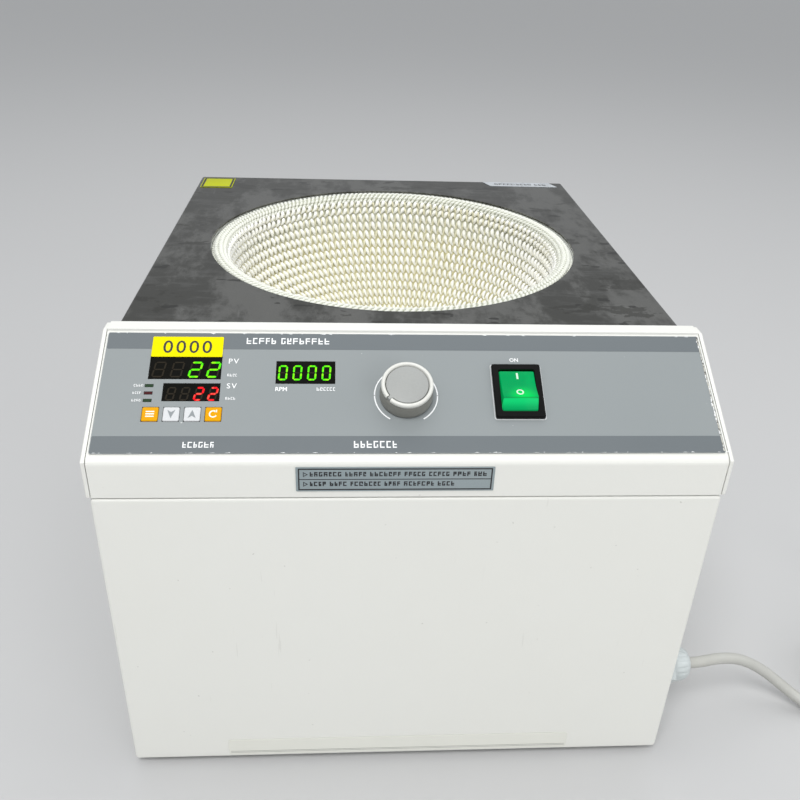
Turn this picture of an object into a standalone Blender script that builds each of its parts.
"""Stirring heating mantle for round-bottom flasks, with its control head, stirrer drive and mains lead.

Metres, +Z up. The origin is on the floor under the middle of the case, +X is to the user's right and
the user stands at -Y. Run it with: blender --background --python part.py
"""

import math

import bmesh
import bpy
from mathutils import Matrix, Vector

# Overall size
DEPTH = 0.3950
LABEL_PROUD = 0.0004
FRONT_Y = LABEL_PROUD - DEPTH / 2
REAR_Y = DEPTH / 2
GAP = 0.0003
SHEET = 0.0012

# Case
CASE_HALF_WIDTH = 0.1530
CASE_BOTTOM_Z = 0.0040
SEAM_Z = 0.1880
WALL_TOP_Z = 0.2360
FRONT_RETURN = 0.0160
SIDE_RETURN = 0.0062
REAR_RETURN = 0.0107
BEND_RADIUS = 0.0015
BEND_STEPS = 3

# Control head
HEAD_HALF_WIDTH = 0.1543
HEAD_BOTTOM_Z = SEAM_Z + 0.0008
CHEEK = 0.0020
CHEEK_PROUD = 0.00035
FOLD_Z = 0.2088
SLOPE_LENGTH = 0.0734
SLOPE_ANGLE = math.radians(30.52)
HEAD_STEP = 0.0014
HEAD_REAR_Y = FRONT_Y + 0.0722
FOLD_RADIUS = 0.0040
OVERLAY_TOP = 0.0008

# Top plate and heater
PLATE_TOP_Z = 0.2373
PLATE_SHEET = 0.0010
PLATE_LIP = 0.0120
PLATE_FRONT_Y = HEAD_REAR_Y + GAP
BOWL_Y = FRONT_Y + 0.2354
OPENING_RADIUS = 0.1243
BOWL_RADIUS = 0.1130
BOWL_CENTRE_Z = 0.2326
KNIT = 0.0050
ROUND_STEPS = 40

# Features on the sloping panel: u is to the right, v up the slope from the fold
KNOB_UV = (-0.0031, 0.0357)
SWITCH_UV = (0.0525, 0.0379)
ROCKER_DEPTH = 0.0041
ROCKER_TILT = math.radians(13.3)
POINTER_ANGLE = math.radians(221)
KEY_V = 0.0250
KEY_NAMES = ("key_mode", "key_down", "key_up", "key_autotune")
KEY_FIRST_U = -0.1253
KEY_PITCH = 0.0099
KEY_HALF = 0.0038
KEY_STEM_HALF = 0.0018
LED_NAMES = ("led_output", "led_alarm", "led_autotune")
LED_U = -0.1275
LED_TOP_V = 0.0409
LED_PITCH = 0.00415
LED_HALF = (0.00185, 0.00065)
DISPLAYS = {
    "pv_display": ((-0.1284, 0.0448), (-0.0938, 0.0585)),
    "sv_display": ((-0.1206, 0.0324), (-0.0936, 0.0421)),
    "rpm_display": ((-0.0667, 0.0424), (-0.0380, 0.0551)),
}

# Mains lead
CORD_RADIUS = 0.0034
GLAND_Y = FRONT_Y + 0.0288
GLAND_Z = 0.0426
GLAND_TIP_X = 0.1754
CORD_ROUTE = (
    (0.1757, -0.1683, 0.0426),
    (0.1810, -0.1680, 0.0426),
    (0.1870, -0.1670, 0.0425),
    (0.1940, -0.1650, 0.0418),
    (0.2020, -0.1630, 0.0402),
    (0.2100, -0.1610, 0.0375),
    (0.2180, -0.1600, 0.0337),
    (0.2260, -0.1595, 0.0288),
    (0.2340, -0.1600, 0.0232),
    (0.2410, -0.1615, 0.0178),
    (0.2480, -0.1640, 0.0127),
    (0.2550, -0.1675, 0.0083),
    (0.2620, -0.1720, 0.0053),
    (0.2680, -0.1765, 0.0039),
    (0.2735, -0.1815, 0.0035),
)
CORD_SPACING = 0.0060
COIL_CENTRE = (0.3245, -0.1617)
COIL_MEAN_RADIUS = 0.0405
COIL_HALF_WIDTH = 0.0107
COIL_LAYER = 0.0070
PLUG_START = 0.0388
PLUG_RADIUS = 0.0182

# Colours: linear RGB, roughness, metallic
FINISHES = {
    "white_paint": ((0.74, 0.74, 0.70), 0.38, 0.0),
    "stainless": ((0.60, 0.60, 0.60), 0.16, 1.0),
    "overlay_grey": ((0.41, 0.45, 0.46), 0.45, 0.0),
    "black_plastic": ((0.02, 0.02, 0.02), 0.40, 0.0),
    "display_black": ((0.01, 0.01, 0.012), 0.20, 0.0),
    "knob_grey": ((0.45, 0.45, 0.43), 0.45, 0.0),
    "knob_white": ((0.80, 0.80, 0.75), 0.40, 0.0),
    "key_orange": ((0.87, 0.42, 0.01), 0.45, 0.0),
    "key_white": ((0.80, 0.81, 0.81), 0.45, 0.0),
    "lens_green": ((0.00, 0.45, 0.12), 0.25, 0.0),
    "lens_red": ((0.25, 0.01, 0.02), 0.30, 0.0),
    "label_grey": ((0.30, 0.32, 0.34), 0.50, 0.0),
    "label_clear": ((0.72, 0.72, 0.68), 0.30, 0.0),
    "label_yellow": ((0.95, 0.85, 0.01), 0.50, 0.0),
    "label_silver": ((0.62, 0.65, 0.67), 0.35, 0.6),
    "glass_fibre": ((0.84, 0.80, 0.66), 0.90, 0.0),
    "aluminium": ((0.70, 0.71, 0.72), 0.40, 1.0),
    "galvanised": ((0.50, 0.52, 0.54), 0.50, 1.0),
    "mineral_wool": ((0.62, 0.55, 0.40), 0.95, 0.0),
    "motor_steel": ((0.25, 0.25, 0.26), 0.45, 1.0),
    "magnet_nickel": ((0.55, 0.54, 0.50), 0.30, 1.0),
    "board_green": ((0.02, 0.14, 0.05), 0.50, 0.0),
    "rubber_black": ((0.03, 0.03, 0.03), 0.80, 0.0),
    "nylon_grey": ((0.50, 0.54, 0.55), 0.40, 0.0),
    "cord_grey": ((0.50, 0.50, 0.47), 0.45, 0.0),
    "pin_nickel": ((0.70, 0.68, 0.62), 0.25, 1.0),
}


# ---------------------------------------------------------------- objects


def clear_scene():
    for obj in list(bpy.data.objects):
        bpy.data.objects.remove(obj, do_unlink=True)


def finish(name):
    """The material of that name, made the first time it is asked for."""
    found = bpy.data.materials.get(name)
    if found:
        return found
    colour, roughness, metallic = FINISHES[name]
    made = bpy.data.materials.new(name)
    made.use_nodes = True
    shader = made.node_tree.nodes["Principled BSDF"]
    shader.inputs["Base Color"].default_value = (*colour, 1.0)
    shader.inputs["Roughness"].default_value = roughness
    shader.inputs["Metallic"].default_value = metallic
    return made


def empty(name, parent=None, place=None):
    """An empty that carries an assembly, placed in its parent's frame."""
    obj = bpy.data.objects.new(name, None)
    bpy.context.scene.collection.objects.link(obj)
    obj.parent = parent
    obj.matrix_local = place or Matrix.Identity(4)
    return obj


def add(name, mesh_data, finish_name, parent, origin=(0.0, 0.0, 0.0), sharp=35.0):
    """An object of this shape, given in its parent's frame, with its own origin at the point origin."""
    bmesh.ops.translate(mesh_data, verts=mesh_data.verts, vec=-Vector(origin))
    mesh = bpy.data.meshes.new(name)
    mesh_data.to_mesh(mesh)
    mesh_data.free()
    mesh.shade_smooth()
    mesh.set_sharp_from_angle(angle=math.radians(sharp))
    mesh.materials.append(finish(finish_name))
    obj = bpy.data.objects.new(name, mesh)
    bpy.context.scene.collection.objects.link(obj)
    obj.parent = parent
    obj.location = origin
    return obj


def cut(targets, name, mesh_data, parent):
    """Cuts one hidden shape out of each target."""
    cutter = add(name, mesh_data, "motor_steel", parent)
    cutter.hide_render = True
    cutter.display_type = "WIRE"
    for target in targets:
        modifier = target.modifiers.new(name, "BOOLEAN")
        modifier.operation = "DIFFERENCE"
        modifier.solver = "EXACT"
        modifier.object = cutter


# ---------------------------------------------------------------- outlines


def offset_outline(points, distance):
    """A closed anticlockwise outline, moved inwards by distance."""
    moved = []
    for i, point in enumerate(points):
        here = Vector(point)
        before = (here - Vector(points[i - 1])).normalized()
        after = (Vector(points[(i + 1) % len(points)]) - here).normalized()
        normal = Vector((-before.y - after.y, before.x + after.x))
        moved.append(here + normal * distance / (1 + before.dot(after)))
    return moved


def offset_path(points, distance):
    """An open path, moved to its left by distance."""
    moved = []
    for i, point in enumerate(points):
        here = Vector(point)
        before = (here - Vector(points[max(i - 1, 0)])).normalized()
        after = (Vector(points[min(i + 1, len(points) - 1)]) - here).normalized()
        if i == 0:
            before = after
        if i == len(points) - 1:
            after = before
        normal = Vector((-before.y - after.y, before.x + after.x))
        moved.append(here + normal * distance / (1 + before.dot(after)))
    return moved


def rounded(points, radius, steps=3, closed=True):
    """The same outline or path with each corner turned into an arc."""
    made = []
    count = len(points)
    for i, point in enumerate(points):
        here = Vector(point)
        if not closed and i in (0, count - 1):
            made.append(here)
            continue
        back = (Vector(points[i - 1]) - here).normalized()
        ahead = (Vector(points[(i + 1) % count]) - here).normalized()
        half = back.angle(ahead) / 2
        reach = radius / math.tan(half)
        centre = here + (back + ahead).normalized() * radius / math.sin(half)
        start = here + back * reach - centre
        turn = math.pi - 2 * half
        side = 1 if back.cross(ahead) < 0 else -1
        for step in range(steps + 1):
            angle = side * turn * step / steps
            cos_a = math.cos(angle)
            sin_a = math.sin(angle)
            spoke = Vector((start.x * cos_a - start.y * sin_a, start.x * sin_a + start.y * cos_a))
            made.append(centre + spoke)
    return made


def rectangle(low, high):
    return [(low[0], low[1]), (high[0], low[1]), (high[0], high[1]), (low[0], high[1])]


def polygon(sides, across_flats, centre=(0.0, 0.0)):
    radius = across_flats / 2 / math.cos(math.pi / sides)
    turns = [2 * math.pi * i / sides for i in range(sides)]
    return [(centre[0] + radius * math.cos(a), centre[1] + radius * math.sin(a)) for a in turns]


def at_x(outline, x):
    return [Vector((x, point[0], point[1])) for point in outline]


def at_y(outline, y):
    return [Vector((point[0], y, point[1])) for point in outline]


def at_z(outline, z):
    return [Vector((point[0], point[1], z)) for point in outline]


# ---------------------------------------------------------------- solids


def loft(rings, closed=False, into=None):
    """A skin over rings of points, with its two ends capped, or joined to each other if closed."""
    made = into or bmesh.new()
    volume_before = made.calc_volume(signed=True)
    verts = [[made.verts.new(point) for point in ring] for ring in rings]
    pairs = list(zip(verts, verts[1:]))
    if closed:
        pairs.append((verts[-1], verts[0]))
    faces = []
    for one, other in pairs:
        count = max(len(one), len(other))
        for i in range(count):
            j = (i + 1) % count
            corners = (one[i % len(one)], one[j % len(one)], other[j % len(other)], other[i % len(other)])
            faces.append(made.faces.new(list(dict.fromkeys(corners))))
    if not closed:
        faces += [made.faces.new(ring) for ring in (verts[0], verts[-1]) if len(ring) > 2]
    bmesh.ops.recalc_face_normals(made, faces=faces)
    if made.calc_volume(signed=True) < volume_before:
        bmesh.ops.reverse_faces(made, faces=faces)
    return made


def box(low, high, into=None):
    outline = rectangle(low, high)
    return loft([at_z(outline, low[2]), at_z(outline, high[2])], into=into)


def tray(view, outline, base, depth, sheet=SHEET):
    """Sheet folded back all round: a closed face at base, and walls that end at base + depth."""
    side = math.copysign(1.0, depth)
    rings = []
    for step in range(BEND_STEPS + 1):
        angle = math.pi / 2 * step / BEND_STEPS
        inset = BEND_RADIUS * (1 - math.sin(angle))
        level = base + side * BEND_RADIUS * (1 - math.cos(angle))
        rings.append(view(offset_outline(outline, inset), level))
    inner = offset_outline(outline, sheet)
    rings.append(view(outline, base + depth))
    rings.append(view(inner, base + depth))
    rings.append(view(inner, base + side * sheet))
    return loft(rings)


def bent_sheet(view, path, sheet, start, end, radius):
    """A strip of sheet that follows a path of (across, up) points, from start to end."""
    outer = rounded(path, radius, BEND_STEPS, closed=False)
    outline = outer + offset_path(outer, sheet)[::-1]
    return loft([view(outline, start), view(outline, end)])


def turned(profile, steps=ROUND_STEPS, closed=False):
    """A profile of (radius, height) points turned about the Z axis. A point at radius 0 is one vertex."""
    rings = []
    for radius, height in profile:
        if radius == 0:
            rings.append([Vector((0, 0, height))])
            continue
        turns = [2 * math.pi * i / steps for i in range(steps)]
        rings.append([Vector((radius * math.cos(a), radius * math.sin(a), height)) for a in turns])
    return loft(rings, closed)


def sphere_arc(radius, low_angle, high_angle, steps):
    """Points of (radius, height) on the lower half of a ball, by angle below its equator."""
    angles = [low_angle + (high_angle - low_angle) * i / steps for i in range(steps + 1)]
    return [(round(radius * math.cos(a), 7), BOWL_CENTRE_Z - radius * math.sin(a)) for a in angles]


def moved(mesh_data, place):
    bmesh.ops.transform(mesh_data, matrix=place, verts=mesh_data.verts)
    return mesh_data


def upright(x, y, z=0.0):
    return Matrix.Translation((x, y, z))


# ---------------------------------------------------------------- case


def make_case(case):
    front = rounded(rectangle((-CASE_HALF_WIDTH, CASE_BOTTOM_Z), (CASE_HALF_WIDTH, SEAM_Z)), 0.002)
    add("front_panel", tray(at_y, front, FRONT_Y, FRONT_RETURN), "white_paint", case, (0, FRONT_Y, SEAM_Z))

    rear_face = REAR_Y - PLATE_SHEET - GAP
    back = rounded(rectangle((-CASE_HALF_WIDTH, CASE_BOTTOM_Z), (CASE_HALF_WIDTH, WALL_TOP_Z)), 0.002)
    back_sheet = tray(at_y, back, rear_face, -REAR_RETURN)
    rear = add("rear_panel", back_sheet, "white_paint", case, (0, rear_face, 0.1))
    slots = bmesh.new()
    for row in range(7):
        level = 0.045 + row * 0.009
        for column in (-1, 1):
            middle = column * 0.030
            low = (middle - 0.024, rear_face - 0.004, level)
            box(low, (middle + 0.024, rear_face + 0.004, level + 0.003), slots)
    cut([rear], "rear_vents", slots, case)

    front_edge = FRONT_Y + FRONT_RETURN + GAP
    rear_edge = rear_face - REAR_RETURN - GAP
    neck = PLATE_FRONT_Y + PLATE_SHEET + GAP
    shoulder = HEAD_BOTTOM_Z - 0.0004
    outline = [
        (front_edge, CASE_BOTTOM_Z),
        (rear_edge, CASE_BOTTOM_Z),
        (rear_edge, WALL_TOP_Z),
        (neck, WALL_TOP_Z),
        (neck, shoulder),
        (front_edge, shoulder),
    ]
    for name, side in (("left_side_panel", -1), ("right_side_panel", 1)):
        face = side * CASE_HALF_WIDTH
        side_sheet = tray(at_x, outline, face, -side * SIDE_RETURN)
        panel = add(name, side_sheet, "white_paint", case, (face, 0, 0.1))
    hole = turned([(0.0098, 0.135), (0.0098, 0.165)], 24)
    along_x = Matrix.Translation((0, GLAND_Y, GLAND_Z)) @ Matrix.Rotation(math.pi / 2, 4, "Y")
    cut([panel], "gland_hole", moved(hole, along_x), case)

    low = (SIDE_RETURN + GAP - CASE_HALF_WIDTH, FRONT_Y + SHEET + GAP, CASE_BOTTOM_Z + SHEET + GAP)
    high = (-low[0], rear_face - SHEET - GAP, low[2] + 0.0015)
    base = add("base_plate", box(low, high), "galvanised", case, (0, 0, low[2]))
    slots = bmesh.new()
    for row in range(6):
        y = BOWL_Y - 0.030 + row * 0.012
        for column in (-1, 1):
            middle = column * 0.098
            box((middle - 0.020, y - 0.0025, 0.0), (middle + 0.020, y + 0.0025, 0.02), slots)
    cut([base], "base_vents", slots, case)

    foot_top = low[2] - GAP
    foot = [(0, 0), (0.0105, 0), (0.0115, 0.0008), (0.0115, 0.0040), (0.0108, foot_top), (0, foot_top)]
    corners = {
        "front_left": (-1, 0.040),
        "front_right": (1, 0.040),
        "rear_left": (-1, 0.350),
        "rear_right": (1, 0.350),
    }
    for corner, (side, back) in corners.items():
        place = (side * 0.120, FRONT_Y + back, 0)
        add("foot_" + corner, moved(turned(foot, 16), upright(*place)), "rubber_black", case, place)


def make_top_plate(case):
    outline = rectangle((-HEAD_HALF_WIDTH, PLATE_FRONT_Y), (HEAD_HALF_WIDTH, REAR_Y))
    skin = tray(at_z, rounded(outline, 0.0020, 2), PLATE_TOP_Z, -PLATE_LIP, PLATE_SHEET)
    plate = add("top_plate", skin, "stainless", case, (0, BOWL_Y, PLATE_TOP_Z))
    hole = turned([(OPENING_RADIUS, 0.200), (OPENING_RADIUS, 0.260)], 72)
    cut([plate], "plate_opening", moved(hole, upright(0, BOWL_Y)), case)

    low_z = PLATE_TOP_Z + 0.00015
    corner = rounded(rectangle((-0.1513, FRONT_Y + 0.3610), (-0.1257, FRONT_Y + 0.3890)), 0.001)
    left = loft([at_z(corner, low_z), at_z(corner, low_z + 0.0002)])
    add("plate_label_left", left, "label_yellow", case, (-0.1385, FRONT_Y + 0.375, low_z))
    near = FRONT_Y + 0.3800
    far = FRONT_Y + 0.3925
    slanted = [(0.0900, near), (0.1475, near), (0.1425, far), (0.0850, far)]
    right = loft([at_z(slanted, low_z), at_z(slanted, low_z + 0.0002)])
    add("plate_label_right", right, "label_silver", case, (0.1160, near, low_z))


# ---------------------------------------------------------------- heater


def make_heater(case):
    top = BOWL_CENTRE_Z
    middle = upright(0, BOWL_Y)
    quarter = math.pi / 2

    def turned_part(name, profile, finish_name, closed=False):
        mesh_data = moved(turned(profile, ROUND_STEPS, closed), middle)
        add(name, mesh_data, finish_name, case, (0, BOWL_Y, profile[0][1]))

    rim_middle = 0.1187
    rim_radius = 0.0049
    rim = [
        (rim_middle - rim_radius * math.cos(a), top - 0.0003 + rim_radius * math.sin(a))
        for a in [math.radians(150 - 36 * i) for i in range(6)]
    ]
    under_rim = math.asin(0.0050 / (BOWL_RADIUS + KNIT))
    profile = sphere_arc(BOWL_RADIUS, quarter, 0.0, 10) + rim
    profile += sphere_arc(BOWL_RADIUS + KNIT, under_rim, quarter, 7)
    turned_part("heating_mantle", profile, "glass_fibre")

    plate_low = PLATE_TOP_Z - PLATE_SHEET - GAP
    sheet = 0.0008
    shell_inner = BOWL_RADIUS + KNIT + 0.0014
    shell_outer = shell_inner + sheet
    collar = 0.1243
    ledge = top - 0.0056
    start = math.asin((top - ledge) / shell_inner)
    end = math.asin((top - ledge + sheet) / shell_outer)
    profile = sphere_arc(shell_inner, quarter, start, 6)
    profile += [(collar, ledge), (collar, plate_low), (0.1365, plate_low), (0.1365, plate_low - sheet)]
    profile += [(collar + sheet, plate_low - sheet), (collar + sheet, ledge - sheet)]
    profile += sphere_arc(shell_outer, end, quarter, 6)
    turned_part("heater_shell", profile, "aluminium")

    shield = 0.1374
    shield_low = 0.0920
    wool_radius = shell_outer + 0.0018
    hole_radius = 0.0420
    wool_top = 0.2240
    wool_start = math.asin((top - wool_top) / wool_radius)
    profile = sphere_arc(wool_radius, wool_start, math.acos(hole_radius / wool_radius), 5)
    floor_top = shield_low + 0.0011
    profile += [(hole_radius, floor_top), (shield - 0.0005, floor_top), (shield - 0.0005, wool_top)]
    turned_part("insulation_bowl", profile, "mineral_wool", closed=True)

    profile = [
        (0.1460, plate_low),
        (0.1460, plate_low - sheet),
        (shield + sheet, plate_low - sheet),
        (shield + sheet, shield_low),
        (0.0440, shield_low),
        (0.0440, shield_low + sheet),
        (shield, shield_low + sheet),
        (shield, plate_low),
    ]
    turned_part("heat_shield", profile, "galvanised", closed=True)


# ---------------------------------------------------------------- stirrer


def make_stirrer(case):
    half_path = [(0.050, 0.0860), (0.050, 0.0093), (0.062, 0.0093)]
    path = [(-x, z) for x, z in half_path[::-1]] + half_path
    strap = bent_sheet(at_y, path, -0.0020, BOWL_Y - 0.030, BOWL_Y + 0.030, 0.0030)
    bracket = add("motor_bracket", strap, "galvanised", case, (0, BOWL_Y, 0.0073))
    hole = turned([(0.0080, 0.070), (0.0080, 0.095)], 24)
    cut([bracket], "bracket_hole", moved(hole, upright(0, BOWL_Y)), case)

    motor = [
        (0, 0.0290),
        (0.0260, 0.0290),
        (0.0300, 0.0320),
        (0.0300, 0.0800),
        (0.0280, 0.0836),
        (0.0034, 0.0836),
        (0.0034, 0.0600),
        (0, 0.0600),
    ]
    motor_can = moved(turned(motor, 24), upright(0, BOWL_Y))
    add("stirrer_motor", motor_can, "motor_steel", case, (0, BOWL_Y, 0.0836))

    rotor = empty("stirrer_axis", case, upright(0, BOWL_Y, 0.0836))
    drop = Matrix.Translation((0, 0, -0.0836))
    shaft = turned([(0, 0.0604), (0.0030, 0.0604), (0.0030, 0.1014), (0, 0.1014)], 20)
    add("motor_shaft", moved(shaft, drop), "motor_steel", rotor)
    carrier = [
        (0, 0.1018),
        (0.0033, 0.1018),
        (0.0033, 0.0900),
        (0.0080, 0.0900),
        (0.0080, 0.0970),
        (0.0355, 0.0970),
        (0.0360, 0.0975),
        (0.0360, 0.1035),
        (0, 0.1035),
    ]
    add("magnet_carrier", moved(turned(carrier, 28), drop), "aluminium", rotor)
    for name, side in (("magnet_left", -1), ("magnet_right", 1)):
        puck = turned([(0, 0.1038), (0.0085, 0.1038), (0.0085, 0.1098), (0, 0.1098)], 16)
        place = drop @ Matrix.Translation((side * 0.022, 0, 0))
        add(name, moved(puck, place), "magnet_nickel", rotor)


# ---------------------------------------------------------------- control head


def make_head(case, slope):
    """The bent head, its cheeks and its overlay. Returns the pieces that the panel's openings cut."""
    rise = Vector((math.cos(SLOPE_ANGLE), math.sin(SLOPE_ANGLE)))
    fold = Vector((FRONT_Y, FOLD_Z))
    slope_end = fold + rise * SLOPE_LENGTH
    top_z = slope_end.y + HEAD_STEP
    inside = HEAD_HALF_WIDTH - CHEEK - GAP
    flange = [(slope_end.x, top_z), (HEAD_REAR_Y, top_z), (HEAD_REAR_Y, 0.226)]
    path = [(FRONT_Y, HEAD_BOTTOM_Z), fold, slope_end, *flange]
    outer = rounded(path[:2] + [slope_end], FOLD_RADIUS, 4, closed=False)[:-1]
    outer += rounded([slope_end, *flange], 0.0003, 2, closed=False)
    inner_bend = [slope_end + rise * 0.0009, (slope_end.x + 0.0009, top_z)]
    inner = offset_path([*path[:2], *inner_bend, *flange[1:]], -SHEET)
    outline = outer + inner[::-1]
    bent = loft([at_x(outline, -inside), at_x(outline, inside)])
    head = add("control_head", bent, "white_paint", case, (0, *fold))

    front = FRONT_Y - CHEEK_PROUD
    proud = Vector((-rise.y, rise.x)) * CHEEK_PROUD
    ridge = slope_end + proud
    outline = [
        (front, HEAD_BOTTOM_Z),
        (HEAD_REAR_Y, HEAD_BOTTOM_Z),
        (HEAD_REAR_Y, top_z - 0.0006),
        (ridge.x + 0.0008, top_z - 0.0006),
        (ridge.x, ridge.y),
        (front, FOLD_Z + CHEEK_PROUD * 0.4),
    ]
    cheek_outline = rounded(outline, 0.0008, 2)
    for name, side in (("head_left_cheek", -1), ("head_right_cheek", 1)):
        outside = side * HEAD_HALF_WIDTH
        inner_face = outside - side * CHEEK
        rings = [
            at_x(offset_outline(cheek_outline, 0.0004), outside),
            at_x(cheek_outline, outside - side * 0.0005),
            at_x(cheek_outline, inner_face),
        ]
        add(name, loft(rings), "white_paint", case, (outside, *fold))

    skin = rounded(rectangle((-0.1509, 0.0042), (0.1509, 0.0719)), 0.0008, 2)
    overlay = add("panel_overlay", loft([at_z(skin, GAP), at_z(skin, OVERLAY_TOP)]), "overlay_grey", slope)
    return [head, overlay]


def make_panel_openings(cut_pieces, slope):
    """One hidden shape for all the openings in the head and its overlay."""
    clear = 0.00025
    below = -0.003
    above = 0.003
    shape = bmesh.new()
    for low, high in DISPLAYS.values():
        box((low[0] - clear, low[1] - clear, below), (high[0] + clear, high[1] + clear, above), shape)
    for i in range(len(KEY_NAMES)):
        u = KEY_FIRST_U + KEY_PITCH * i
        reach = KEY_HALF + clear
        box((u - reach, KEY_V - reach, below), (u + reach, KEY_V + reach, above), shape)
    for i in range(len(LED_NAMES)):
        v = LED_TOP_V - LED_PITCH * i
        across, up = LED_HALF[0] + clear, LED_HALF[1] + clear
        box((LED_U - across, v - up, below), (LED_U + across, v + up, above), shape)
    across, up = 0.0111, 0.0150
    u, v = SWITCH_UV
    box((u - across, v - up, below), (u + across, v + up, above), shape)
    bush = [(point[0] + KNOB_UV[0], point[1] + KNOB_UV[1]) for point in polygon(24, 0.0092)]
    loft([at_z(bush, below), at_z(bush, above)], into=shape)
    cut(cut_pieces, "panel_openings", shape, slope)


def make_displays(slope):
    board_top = -0.0103
    for name, (low, high) in DISPLAYS.items():
        middle = ((low[0] + high[0]) / 2, (low[1] + high[1]) / 2, 0)
        shape = box((*low, board_top + GAP), (*high, OVERLAY_TOP - 0.0001))
        add(name, shape, "display_black", slope, middle)
    lens = {"led_output": "lens_green", "led_alarm": "lens_red", "led_autotune": "lens_green"}
    for i, name in enumerate(LED_NAMES):
        v = LED_TOP_V - LED_PITCH * i
        low = (LED_U - LED_HALF[0], v - LED_HALF[1], -0.0040)
        high = (LED_U + LED_HALF[0], v + LED_HALF[1], OVERLAY_TOP)
        add(name, box(low, high), lens[name], slope, (LED_U, v, 0))
    board = box((-0.1330, 0.0080, board_top - 0.0016), (-0.0330, 0.0640, board_top))
    add("display_board", board, "board_green", slope, (-0.0830, 0.0360, board_top))
    tag = rounded(rectangle((-0.1285, 0.0574), (-0.0937, 0.0693)), 0.0004, 2)
    low = OVERLAY_TOP + 0.00015
    tape = loft([at_z(tag, low), at_z(tag, low + 0.0002)])
    add("asset_tag", tape, "label_yellow", slope, (-0.1111, 0.0634, low))


def make_keys(slope):
    finishes = ("key_orange", "key_white", "key_white", "key_orange")
    for i, (name, finish_name) in enumerate(zip(KEY_NAMES, finishes)):
        guide = empty(name + "_travel", slope, upright(KEY_FIRST_U + KEY_PITCH * i, KEY_V, OVERLAY_TOP))
        stem, cap = (
            rounded(rectangle((-half, -half), (half, half)), 0.0005, 1) for half in (KEY_STEM_HALF, KEY_HALF)
        )
        crown = offset_outline(cap, 0.0003)
        levels = [(stem, -0.0104), (stem, -0.0034), (cap, -0.0034), (cap, 0.0001), (crown, 0.0004)]
        add(name, loft([at_z(outline, level) for outline, level in levels]), finish_name, guide)


def make_knob(slope):
    pot = [
        (0, -0.0110),
        (0.0078, -0.0110),
        (0.0085, -0.0103),
        (0.0085, -0.0016),
        (0.0042, -0.0016),
        (0.0042, 0.0039),
        (0.0032, 0.0039),
        (0.0032, -0.0080),
        (0, -0.0080),
    ]
    seat = upright(*KNOB_UV)
    add("potentiometer", moved(turned(pot, 20), seat), "aluminium", slope, (*KNOB_UV, 0))
    nut = polygon(6, 0.0110, KNOB_UV)
    bore = polygon(6, 0.0090, KNOB_UV)
    rings = [at_z(nut, 0.0011), at_z(nut, 0.0033), at_z(bore, 0.0033), at_z(bore, 0.0011)]
    add("potentiometer_nut", loft(rings, closed=True), "pin_nickel", slope, (*KNOB_UV, 0))

    axis = empty("knob_axis", slope, upright(*KNOB_UV))
    shaft = [(0, -0.0076), (0.0029, -0.0076), (0.0029, 0.0086), (0, 0.0086)]
    add("potentiometer_shaft", turned(shaft, 20), "aluminium", axis)
    body = [
        (0, 0.0090),
        (0.0032, 0.0090),
        (0.0032, 0.0050),
        (0.0075, 0.0050),
        (0.0075, 0.0013),
        (0.0127, 0.0013),
        (0.0130, 0.0016),
        (0.0128, 0.0096),
        (0.0104, 0.0096),
        (0.0104, 0.0108),
        (0, 0.0108),
    ]
    add("speed_knob", turned(body, 32), "knob_grey", axis)
    ring = [
        (0.0107, 0.0099),
        (0.0128, 0.0099),
        (0.0128, 0.0113),
        (0.0125, 0.0119),
        (0.0120, 0.0122),
        (0.0114, 0.0122),
        (0.0110, 0.0119),
        (0.0107, 0.0113),
    ]
    collar = add("knob_ring", turned(ring, 32, closed=True), "knob_white", axis)
    pointer = box((0.0095, -0.0008, 0.0108), (0.0118, 0.0008, 0.0140))
    pointer = moved(pointer, Matrix.Rotation(POINTER_ANGLE, 4, "Z"))
    cut([collar], "pointer_notch", pointer, axis)
    cap = [(0, 0.0111), (0.0104, 0.0111), (0.0104, 0.0115), (0.0101, 0.0118), (0, 0.0118)]
    add("knob_cap", turned(cap, 32), "knob_grey", axis)


def make_switch(slope):
    u, v = SWITCH_UV

    def ring(half_u, half_v, level):
        return at_z(rounded(rectangle((u - half_u, v - half_v), (u + half_u, v + half_v)), 0.0010, 2), level)

    rings = [
        ring(0.0108, 0.0147, -0.0220),
        ring(0.0108, 0.0147, 0.0011),
        ring(0.0123, 0.0154, 0.0011),
        ring(0.0123, 0.0154, 0.0022),
        ring(0.0118, 0.0149, 0.0030),
        ring(0.0092, 0.0121, 0.0030),
        ring(0.0090, 0.0119, 0.0027),
        ring(0.0090, 0.0125, 0.0012),
        ring(0.0093, 0.0142, 0.0004),
        ring(0.0093, 0.0142, -0.0140),
    ]
    add("power_switch_housing", loft(rings), "black_plastic", slope, (u, v, 0))

    tilt = Matrix.Rotation(-ROCKER_TILT, 4, "X")
    pivot = empty("rocker_axis", slope, upright(u, v, -ROCKER_DEPTH) @ tilt)
    crown = [(0, 0.00855), (0.0042, 0.00875), (0.00839, 0.00928)]
    half = [*crown, (0.0128, 0.00426), (0.0128, 0.0010), (0.0100, -0.0015)]
    outline = [(-a, b) for a, b in half[:0:-1]] + half
    inset = offset_outline(outline[::-1], 0.0003)[::-1]
    width = 0.00865
    chamfer = width - 0.0003
    rings = [at_x(inset, -width), at_x(outline, -chamfer), at_x(outline, chamfer), at_x(inset, width)]
    add("power_switch_rocker", loft(rings), "lens_green", pivot)


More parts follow.
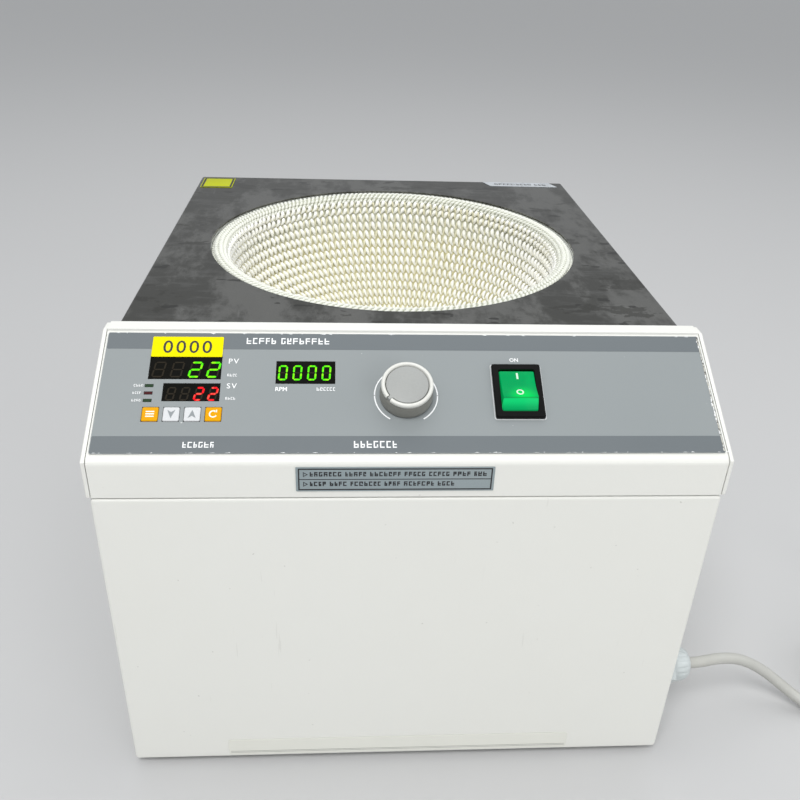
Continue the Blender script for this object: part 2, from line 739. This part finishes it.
def make_front_labels(case):
    skin = FRONT_Y - 0.00015
    info = rounded(rectangle((-0.0560, 0.1925), (0.0384, 0.2061)), 0.0003, 2)
    face = loft([at_y(info, skin), at_y(info, FRONT_Y - LABEL_PROUD)])
    add("info_label", face, "label_grey", case, (0, skin, 0.1993))
    strip = rounded(rectangle((-0.0993, 0.0062), (0.0980, 0.0185)), 0.0015, 2)
    face = loft([at_y(strip, skin), at_y(strip, FRONT_Y - LABEL_PROUD)])
    add("front_sticker", face, "label_clear", case, (0, skin, 0.0123))


# ---------------------------------------------------------------- electrics on the base plate


def make_electrics(case):
    floor = CASE_BOTTOM_Z + SHEET + GAP + 0.0015 + GAP
    pieces = {
        "board_carrier": ((-0.115, 0.024, 0.0), (0.030, 0.084, 0.012), "black_plastic"),
        "control_board": ((-0.118, 0.022, 0.0123), (0.033, 0.086, 0.0139), "board_green"),
        "solid_state_relay": ((0.060, 0.030, 0.0), (0.118, 0.075, 0.023), "black_plastic"),
        "terminal_block": ((0.070, 0.084, 0.0), (0.122, 0.104, 0.017), "nylon_grey"),
    }
    for name, (low, high, finish_name) in pieces.items():
        corners = [(x, FRONT_Y + y, floor + z) for x, y, z in (low, high)]
        middle = [(a + b) / 2 for a, b in zip(*corners)]
        add(name, box(*corners), finish_name, case, middle)


# ---------------------------------------------------------------- mains lead


def smooth_route(points, spacing):
    """Points about spacing apart on a Catmull-Rom curve through the route's own points."""
    line = [Vector(point) for point in points]
    line = [2 * line[0] - line[1], *line, 2 * line[-1] - line[-2]]
    made = []
    for a, b, c, d in zip(line, line[1:], line[2:], line[3:]):
        steps = max(1, round((c - b).length / spacing))
        for i in range(steps):
            t = i / steps
            curve = 2 * b + (c - a) * t + (2 * a - 5 * b + 4 * c - d) * t**2 + (3 * b - a - 3 * c + d) * t**3
            made.append(curve / 2)
    made.append(line[-2])
    return made


def make_gland(case):
    axis = Matrix.Translation((0, GLAND_Y, GLAND_Z)) @ Matrix.Rotation(math.pi / 2, 4, "Y")
    mouth = empty("gland_axis", case, axis)
    wall = CASE_HALF_WIDTH
    cord_hole = CORD_RADIUS + GAP

    def circle(radius, x):
        return at_z(polygon(24, 2 * radius), x)

    def hexagon(across_flats, x):
        """A hexagon with four points on each side, so that it can be lofted to a circle."""
        corners = [Vector(corner) for corner in polygon(6, across_flats)]
        sides = zip(corners, corners[1:] + corners[:1])
        return at_z([one.lerp(other, i / 4) for one, other in sides for i in range(4)], x)

    body = [
        circle(0.0093, 0.1400),
        circle(0.0093, wall + GAP),
        hexagon(0.0230, wall + GAP),
        hexagon(0.0230, wall + 0.0053),
        circle(cord_hole, wall + 0.0053),
        circle(cord_hole, 0.1400),
    ]
    add("cable_gland_body", loft(body, closed=True), "nylon_grey", mouth)
    start = wall + 0.0053 + GAP
    dome = [
        hexagon(0.0226, start),
        hexagon(0.0226, start + 0.0062),
        circle(0.0112, start + 0.0070),
        circle(0.0106, GLAND_TIP_X - 0.0060),
        circle(0.0089, GLAND_TIP_X - 0.0026),
        circle(0.0064, GLAND_TIP_X - 0.0004),
        circle(0.0055, GLAND_TIP_X),
        circle(cord_hole, GLAND_TIP_X),
        circle(cord_hole, start),
    ]
    add("gland_dome_nut", loft(dome, closed=True), "nylon_grey", mouth)
    inner_face = wall - SHEET - GAP
    nut = [
        hexagon(0.0220, inner_face - 0.0050),
        hexagon(0.0220, inner_face),
        circle(0.0096, inner_face),
        circle(0.0096, inner_face - 0.0050),
    ]
    add("gland_locknut", loft(nut, closed=True), "nylon_grey", mouth)


def make_cord(case):
    curve = bpy.data.curves.new("power_cord", "CURVE")
    curve.dimensions = "3D"
    curve.bevel_depth = CORD_RADIUS
    curve.bevel_resolution = 3
    curve.use_fill_caps = True
    line = smooth_route(CORD_ROUTE, CORD_SPACING)
    spline = curve.splines.new("POLY")
    spline.points.add(len(line) - 1)
    for point, place in zip(spline.points, line):
        point.co = (*place, 1.0)
    curve.materials.append(finish("cord_grey"))
    tube = bpy.data.objects.new("power_cord", curve)
    bpy.context.scene.collection.objects.link(tube)
    tube.parent = case

    middle = COIL_MEAN_RADIUS
    reach = COIL_HALF_WIDTH
    low = 0.0004
    second = low + 2 * COIL_LAYER + 0.0004
    third = low + 3 * COIL_LAYER + 0.0004
    profile = [
        (middle - reach + 0.001, low),
        (middle + reach - 0.001, low),
        (middle + reach, low + 0.001),
        (middle + reach, second),
        (middle + 0.0042, third),
        (middle - 0.0042, third),
        (middle - reach, second),
        (middle - reach, low + 0.001),
    ]
    ring = moved(turned(profile, 32, closed=True), upright(*COIL_CENTRE))
    add("cord_coil", ring, "cord_grey", case, (*COIL_CENTRE, 0))


def make_plug(case):
    place = Matrix.Translation((COIL_CENTRE[0] + COIL_MEAN_RADIUS, COIL_CENTRE[1] + PLUG_START, PLUG_RADIUS))
    axis = empty("plug_axis", case, place @ Matrix.Rotation(-math.pi / 2, 4, "X"))
    profile = [
        (0, 0),
        (0.0046, 0),
        (0.0052, 0.0040),
        (0.0062, 0.0180),
        (0.0100, 0.0215),
        (0.0160, 0.0260),
        (0.0178, 0.0300),
        (PLUG_RADIUS, 0.0340),
        (PLUG_RADIUS, 0.0520),
        (0.0176, 0.0540),
        (0, 0.0540),
    ]
    add("mains_plug", turned(profile, 24), "cord_grey", axis)
    for name, side in (("plug_pin_left", -1), ("plug_pin_right", 1)):
        pin = [(0, 0.0543), (0.0024, 0.0543), (0.0024, 0.0718), (0.0016, 0.0730), (0, 0.0732)]
        add(name, moved(turned(pin, 12), upright(side * 0.0095, 0)), "pin_nickel", axis)


def main():
    clear_scene()
    case = empty("mantle")
    lift = Matrix.Translation((0, FRONT_Y, FOLD_Z)) @ Matrix.Rotation(SLOPE_ANGLE, 4, "X")
    slope = empty("sloping_panel", case, lift)
    make_case(case)
    make_top_plate(case)
    make_heater(case)
    make_stirrer(case)
    cut_pieces = make_head(case, slope)
    make_panel_openings(cut_pieces, slope)
    make_displays(slope)
    make_keys(slope)
    make_knob(slope)
    make_switch(slope)
    make_front_labels(case)
    make_electrics(case)
    make_gland(case)
    make_cord(case)
    make_plug(case)


main()
